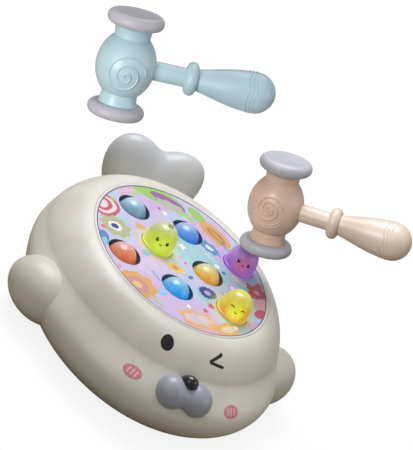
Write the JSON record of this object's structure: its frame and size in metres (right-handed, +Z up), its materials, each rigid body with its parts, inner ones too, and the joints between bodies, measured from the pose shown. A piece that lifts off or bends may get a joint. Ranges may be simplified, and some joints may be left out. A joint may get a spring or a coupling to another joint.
{
  "type": "mole pounding game",
  "caption": "Table game in the form of a lying seal with round light-up moles in an oval printed deck, and toy hammers with padded heads to pound them down.",
  "frame": {"origin": "middle of the case's flat underside, below the middle of the mole field", "axes": "+Z up out of the play deck, +Y towards the tail, -Y towards the face, +X towards the picture's right, the seal's left side"},
  "size_m": [0.2929, 0.2722, 0.2476],
  "materials": {
    "body_plastic": "satin gloss",
    "printed_panel": "printed, glossy",
    "rim_plastic": "glossy",
    "inner_plastic": "satin",
    "screw_steel": "plain zinc",
    "board": "solder mask",
    "switch_plastic": "satin",
    "foot_rubber": "matte",
    "cell_case": "plain sleeve",
    "contact_steel": "plated",
    "speaker_frame": "plain",
    "muzzle_plastic": "glossy",
    "nose_plastic": "glossy",
    "flipper_plastic": "satin gloss",
    "tail_plastic": "satin gloss",
    "pink_hammer_plastic": "satin gloss",
    "pink_hammer_pad": "satin",
    "blue_hammer_plastic": "satin gloss",
    "blue_hammer_pad": "satin",
    "lamp_lens": "clear lens",
    "pale_blue_cap": "translucent, satin gloss",
    "periwinkle_cap": "translucent, satin gloss",
    "purple_cap": "translucent, satin gloss",
    "green_cap": "translucent, satin gloss",
    "gold_cap": "translucent, satin gloss",
    "orange_cap": "translucent, satin gloss",
    "cyan_cap": "translucent, satin gloss",
    "yellow_cap": "translucent, satin gloss"
  },
  "bodies": {
    "case": {"upper_shell": "body_plastic", "play_panel": "printed_panel", "panel_bezel": "rim_plastic", "mole_tray": "inner_plastic", "tray_screws": "screw_steel", "circuit_board": "board", "mole_switches": "switch_plastic", "mole_lamps": "lamp_lens", "board_screws": "screw_steel", "lower_shell": "body_plastic", "rubber_feet": "foot_rubber", "battery_door": "body_plastic", "door_screw": "screw_steel", "case_screws": "screw_steel", "battery_cells": "cell_case", "battery_contacts": "contact_steel", "speaker": "speaker_frame", "slide_switch": "switch_plastic", "muzzle": "muzzle_plastic", "nose": "nose_plastic", "right_flipper": "flipper_plastic", "left_flipper": "flipper_plastic", "tail": "tail_plastic", "pale_blue_mole_spring": "contact_steel", "periwinkle_mole_spring": "contact_steel", "purple_mole_spring": "contact_steel", "green_mole_spring": "contact_steel", "gold_mole_spring": "contact_steel", "orange_mole_spring": "contact_steel", "cyan_mole_spring": "contact_steel", "yellow_mole_spring": "contact_steel"},
    "pale_blue_mole": {"pale_blue_mole_cap": "pale_blue_cap", "pale_blue_mole_stem": "inner_plastic"},
    "periwinkle_mole": {"periwinkle_mole_cap": "periwinkle_cap", "periwinkle_mole_stem": "inner_plastic"},
    "purple_mole": {"purple_mole_cap": "purple_cap", "purple_mole_stem": "inner_plastic"},
    "green_mole": {"green_mole_cap": "green_cap", "green_mole_stem": "inner_plastic"},
    "gold_mole": {"gold_mole_cap": "gold_cap", "gold_mole_stem": "inner_plastic"},
    "orange_mole": {"orange_mole_cap": "orange_cap", "orange_mole_stem": "inner_plastic"},
    "cyan_mole": {"cyan_mole_cap": "cyan_cap", "cyan_mole_stem": "inner_plastic"},
    "yellow_mole": {"yellow_mole_cap": "yellow_cap", "yellow_mole_stem": "inner_plastic"},
    "power_knob": {"power_knob": "switch_plastic"},
    "pink_hammer": {"pink_hammer_head": "pink_hammer_plastic", "pink_hammer_upper_pad": "pink_hammer_pad", "pink_hammer_lower_pad": "pink_hammer_pad", "pink_hammer_handle": "pink_hammer_plastic"},
    "blue_hammer": {"blue_hammer_head": "blue_hammer_plastic", "blue_hammer_upper_pad": "blue_hammer_pad", "blue_hammer_lower_pad": "blue_hammer_pad", "blue_hammer_handle": "blue_hammer_plastic"}
  },
  "joints": [
    {"name": "pale_blue_mole_slide", "type": "slide", "parent": "case", "child": "pale_blue_mole", "axis": [0, 0, 1], "range_m": [0, 0.0135], "deforming": ["pale_blue_mole_spring"]},
    {"name": "periwinkle_mole_slide", "type": "slide", "parent": "case", "child": "periwinkle_mole", "axis": [0, 0, 1], "range_m": [0, 0.0135], "deforming": ["periwinkle_mole_spring"]},
    {"name": "purple_mole_slide", "type": "slide", "parent": "case", "child": "purple_mole", "axis": [0, 0, 1], "range_m": [-0.0135, 0], "stiffness_N_per_m": 120, "springref_m": 0.012, "deforming": ["purple_mole_spring"]},
    {"name": "green_mole_slide", "type": "slide", "parent": "case", "child": "green_mole", "axis": [0, 0, 1], "range_m": [-0.0135, 0], "stiffness_N_per_m": 120, "springref_m": 0.012, "deforming": ["green_mole_spring"]},
    {"name": "gold_mole_slide", "type": "slide", "parent": "case", "child": "gold_mole", "axis": [0, 0, 1], "range_m": [0, 0.0135], "deforming": ["gold_mole_spring"]},
    {"name": "orange_mole_slide", "type": "slide", "parent": "case", "child": "orange_mole", "axis": [0, 0, 1], "range_m": [0, 0.0135], "deforming": ["orange_mole_spring"]},
    {"name": "cyan_mole_slide", "type": "slide", "parent": "case", "child": "cyan_mole", "axis": [0, 0, 1], "range_m": [0, 0.0135], "deforming": ["cyan_mole_spring"]},
    {"name": "yellow_mole_slide", "type": "slide", "parent": "case", "child": "yellow_mole", "axis": [0, 0, 1], "range_m": [-0.0135, 0], "stiffness_N_per_m": 120, "springref_m": 0.012, "deforming": ["yellow_mole_spring"]},
    {"name": "power_knob_slide", "type": "slide", "parent": "case", "child": "power_knob", "axis": [0, 1, 0], "range_m": [0, 0.005]},
    {"name": "pink_hammer_swing", "type": "hinge", "parent": "case", "child": "pink_hammer", "pos_m": [0.13358, -0.0219, 0.16271], "axis": [0.5062, 0.8558, -0.1069], "range_deg": [0, 60]},
    {"name": "blue_hammer_swing", "type": "hinge", "parent": "case", "child": "blue_hammer", "pos_m": [-0.03347, -0.0325, 0.23604], "axis": [0.2642, 0.9299, -0.2559], "range_deg": [0, 60]}
  ]
}
